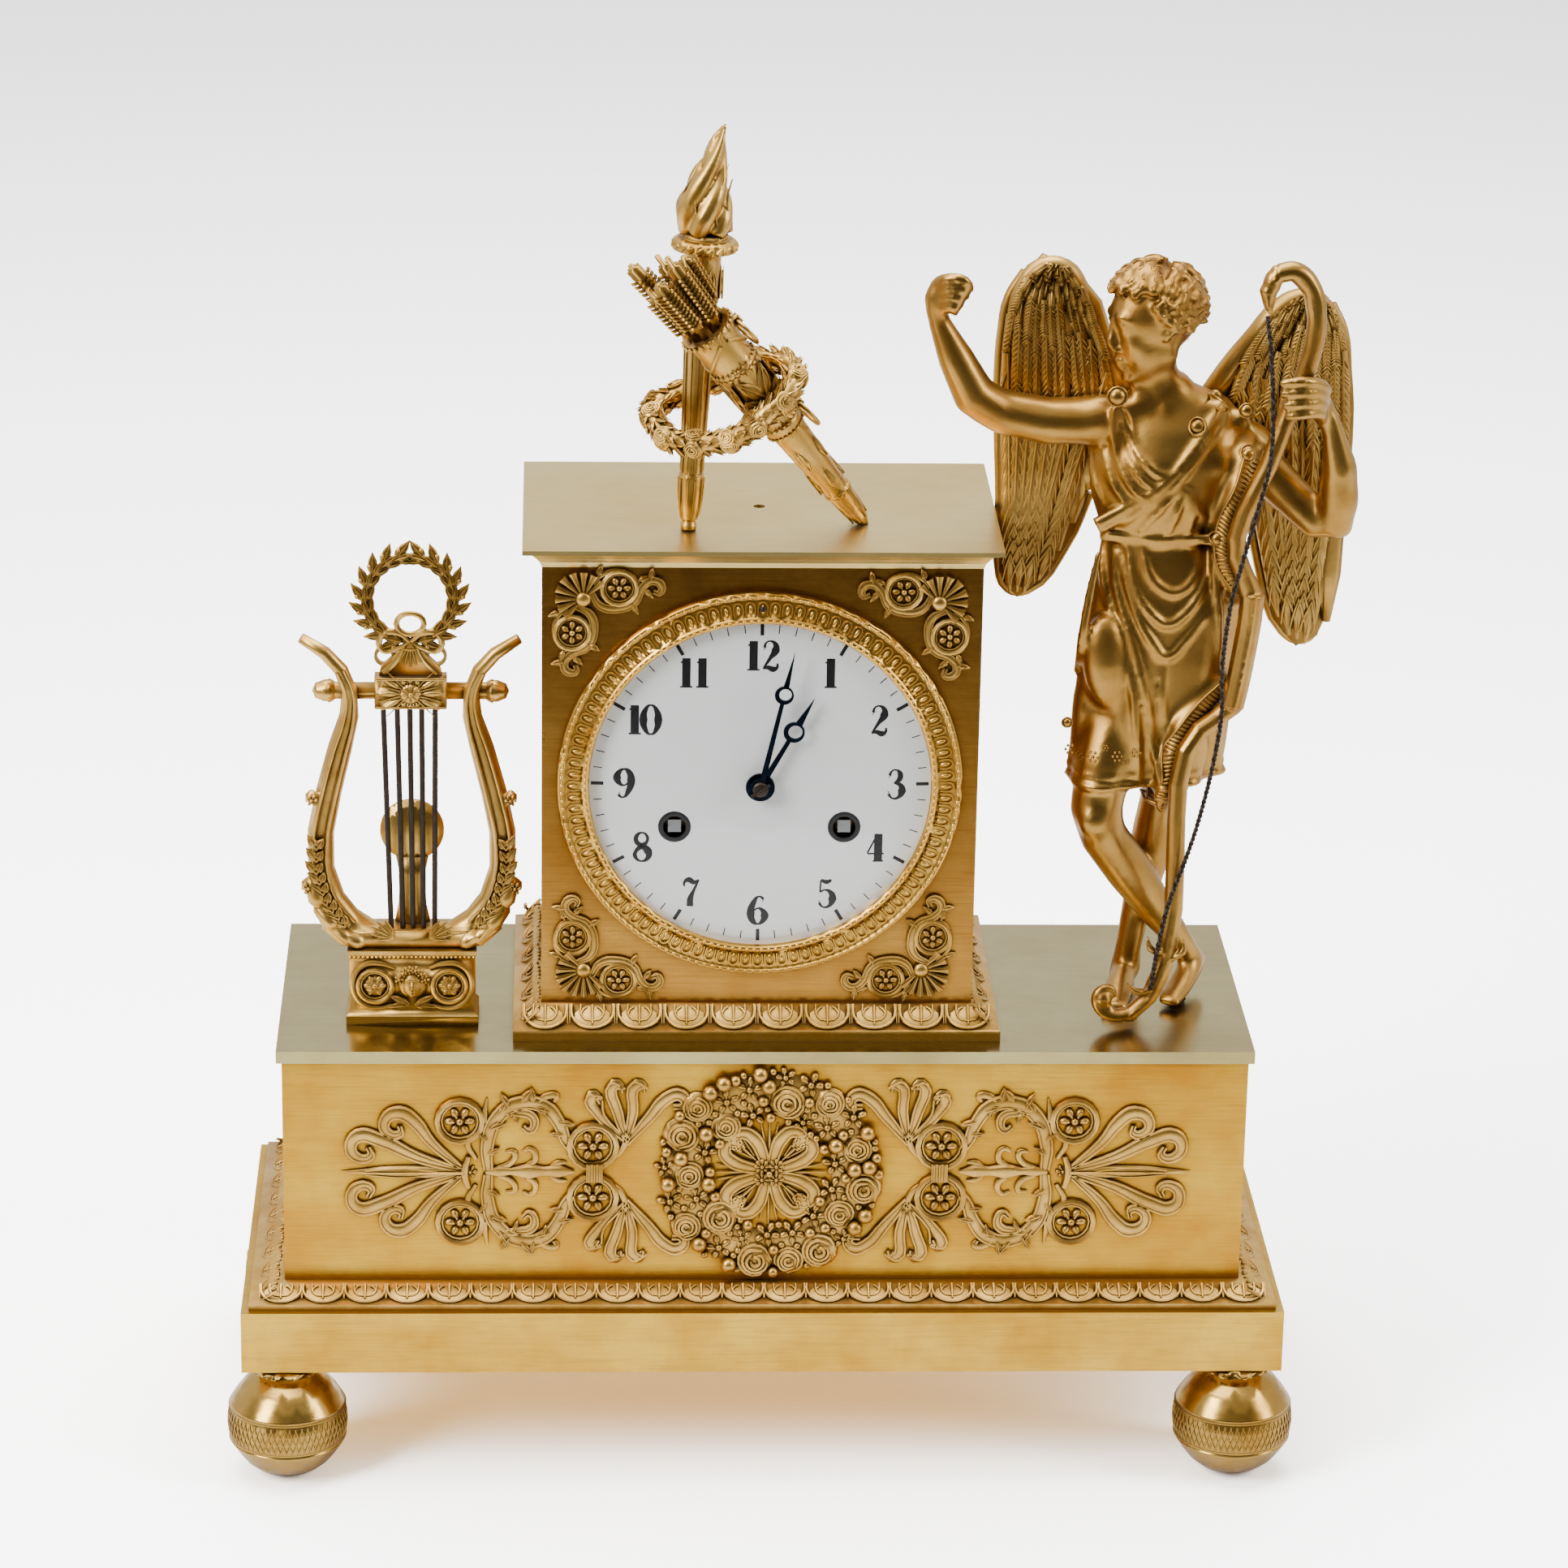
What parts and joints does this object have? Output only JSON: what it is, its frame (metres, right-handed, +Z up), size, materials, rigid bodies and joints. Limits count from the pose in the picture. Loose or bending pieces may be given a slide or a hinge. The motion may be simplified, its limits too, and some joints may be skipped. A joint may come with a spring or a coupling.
{
  "type": "mantel clock",
  "caption": "Gilded mantel clock: a square case on a long footed base, with a winged archer, a lyre, and a torch and quiver on top.",
  "frame": {"origin": "middle of the clock's footprint box, on the surface the feet stand on", "axes": "+Z up, -Y towards the viewer of the dial, +X to that viewer's right, along the base"},
  "size_m": [0.2886, 0.1214, 0.3541],
  "materials": {
    "ormolu": "mercury-gilded bronze, matted and burnished",
    "ormolu_pale": "pale matt mercury gilding",
    "gilt_plate": "brushed and worn gilding",
    "enamel": "white vitreous enamel on copper",
    "blued_steel": "blued steel",
    "movement_brass": "polished brass",
    "steel": "plain steel",
    "bell_metal": "turned bell bronze",
    "patinated": "black patina"
  },
  "bodies": {
    "clock": {"ball_feet": "ormolu", "plinth": "gilt_plate", "base_moulding": "ormolu", "base_box": "gilt_plate", "base_top_plate": "gilt_plate", "base_fixings": "steel", "base_side_mounts": "ormolu_pale", "base_mount_centre": "ormolu_pale", "case_moulding": "ormolu", "case_box": "gilt_plate", "case_top_plate": "gilt_plate", "corner_mounts": "ormolu_pale", "bezel": "ormolu_pale", "dial": "enamel", "dial_plate": "movement_brass", "front_plate": "movement_brass", "back_plate": "movement_brass", "bell": "bell_metal", "bell_stand": "steel", "back_cock": "movement_brass", "movement_straps": "movement_brass", "rear_bezel": "movement_brass", "hinge_pin": "steel", "lyre_base": "ormolu", "lyre_frame": "ormolu", "lyre_crossbar": "ormolu", "lyre_strings": "patinated", "lyre_wreath": "ormolu_pale", "lyre_patera": "ormolu", "torch_stem": "ormolu", "torch_flame": "ormolu_pale", "quiver": "ormolu", "arrows": "ormolu_pale", "garland": "ormolu", "figure_body": "ormolu", "figure_arms": "ormolu", "wing_left": "ormolu", "wing_right": "ormolu", "bow": "ormolu", "bowstring": "patinated"},
    "minute": {"minute_hand": "blued_steel", "hand_collet": "movement_brass", "centre_wheel": "movement_brass"},
    "hour": {"hour_hand": "blued_steel", "hour_wheel": "movement_brass"},
    "minute_wheel": {"minute_wheel": "movement_brass"},
    "going_barrel": {"going_barrel": "movement_brass"},
    "going_arbor": {"going_arbor": "steel"},
    "third_wheel": {"third_wheel": "movement_brass"},
    "escape_wheel": {"escape_wheel": "movement_brass"},
    "anchor": {"anchor": "steel"},
    "strike_barrel": {"strike_barrel": "movement_brass"},
    "strike_arbor": {"strike_arbor": "steel"},
    "strike_pin_wheel": {"strike_pin_wheel": "movement_brass"},
    "hammer": {"hammer": "steel"},
    "pendulum": {"pendulum_rod": "steel", "pendulum_bob": "movement_brass"},
    "rear_door": {"rear_door": "movement_brass"},
    "quiver_ring_upper": {"quiver_ring_upper": "ormolu"},
    "quiver_ring_lower": {"quiver_ring_lower": "ormolu"}
  },
  "joints": [
    {"name": "minute_turn", "type": "hinge", "parent": "clock", "child": "minute", "pos_m": [-0.0075, 0, 0.18586], "axis": [0, 1, 0], "continuous": true},
    {"name": "hour_turn", "type": "hinge", "parent": "clock", "child": "hour", "pos_m": [-0.0075, 0, 0.18586], "axis": [0, 1, 0], "continuous": true},
    {"name": "minute_wheel_turn", "type": "hinge", "parent": "clock", "child": "minute_wheel", "pos_m": [-0.01514, 0, 0.1935], "axis": [0, 1, 0], "continuous": true},
    {"name": "going_barrel_turn", "type": "hinge", "parent": "clock", "child": "going_barrel", "pos_m": [0.0141, 0, 0.17426], "axis": [0, 1, 0], "continuous": true},
    {"name": "going_winding", "type": "hinge", "parent": "clock", "child": "going_arbor", "pos_m": [0.0141, 0, 0.17426], "axis": [0, 1, 0], "continuous": true},
    {"name": "third_wheel_turn", "type": "hinge", "parent": "clock", "child": "third_wheel", "pos_m": [-0.01747, 0, 0.19997], "axis": [0, 1, 0], "continuous": true},
    {"name": "escape_wheel_turn", "type": "hinge", "parent": "clock", "child": "escape_wheel", "pos_m": [-0.0075, 0, 0.21036], "axis": [0, 1, 0], "continuous": true},
    {"name": "pendulum_swing", "type": "hinge", "parent": "clock", "child": "pendulum", "pos_m": [-0.0075, 0.0105, 0.22126], "axis": [0, 1, 0], "range_deg": [-5, 5]},
    {"name": "anchor_swing", "type": "hinge", "parent": "clock", "child": "anchor", "pos_m": [-0.0075, 0.0105, 0.22126], "axis": [0, 1, 0], "range_deg": [-5, 5]},
    {"name": "strike_barrel_turn", "type": "hinge", "parent": "clock", "child": "strike_barrel", "pos_m": [-0.0291, 0, 0.17426], "axis": [0, 1, 0], "continuous": true},
    {"name": "strike_winding", "type": "hinge", "parent": "clock", "child": "strike_arbor", "pos_m": [-0.0291, 0, 0.17426], "axis": [0, 1, 0], "continuous": true},
    {"name": "strike_pin_wheel_turn", "type": "hinge", "parent": "clock", "child": "strike_pin_wheel", "pos_m": [-0.03262, 0, 0.1942], "axis": [0, 1, 0], "continuous": true},
    {"name": "hammer_swing", "type": "hinge", "parent": "clock", "child": "hammer", "pos_m": [0.0185, 0, 0.15786], "axis": [0, 1, 0], "range_deg": [0, 14]},
    {"name": "rear_door_hinge", "type": "hinge", "parent": "clock", "child": "rear_door", "pos_m": [0.0417, 0.0407, 0.18586], "axis": [0, 0, -1], "range_deg": [0, 110]},
    {"name": "quiver_ring_upper_swing", "type": "hinge", "parent": "clock", "child": "quiver_ring_upper", "pos_m": [-0.01519, -0.02573, 0.30634], "axis": [0.3967, -0.918, 0], "range_deg": [0, 90]},
    {"name": "quiver_ring_lower_swing", "type": "hinge", "parent": "clock", "child": "quiver_ring_lower", "pos_m": [0.00069, -0.01887, 0.28342], "axis": [0.3967, -0.918, 0], "range_deg": [0, 90]}
  ],
  "couplings": [
    {"joint": "hour_turn", "follows": "minute_turn", "ratio": 0.083333},
    {"joint": "minute_wheel_turn", "follows": "minute_turn", "ratio": -0.33333},
    {"joint": "going_barrel_turn", "follows": "minute_turn", "ratio": -0.175},
    {"joint": "third_wheel_turn", "follows": "minute_turn", "ratio": -11},
    {"joint": "escape_wheel_turn", "follows": "minute_turn", "ratio": 121},
    {"joint": "anchor_swing", "follows": "pendulum_swing", "ratio": 1},
    {"joint": "strike_pin_wheel_turn", "follows": "strike_barrel_turn", "ratio": -8}
  ]
}
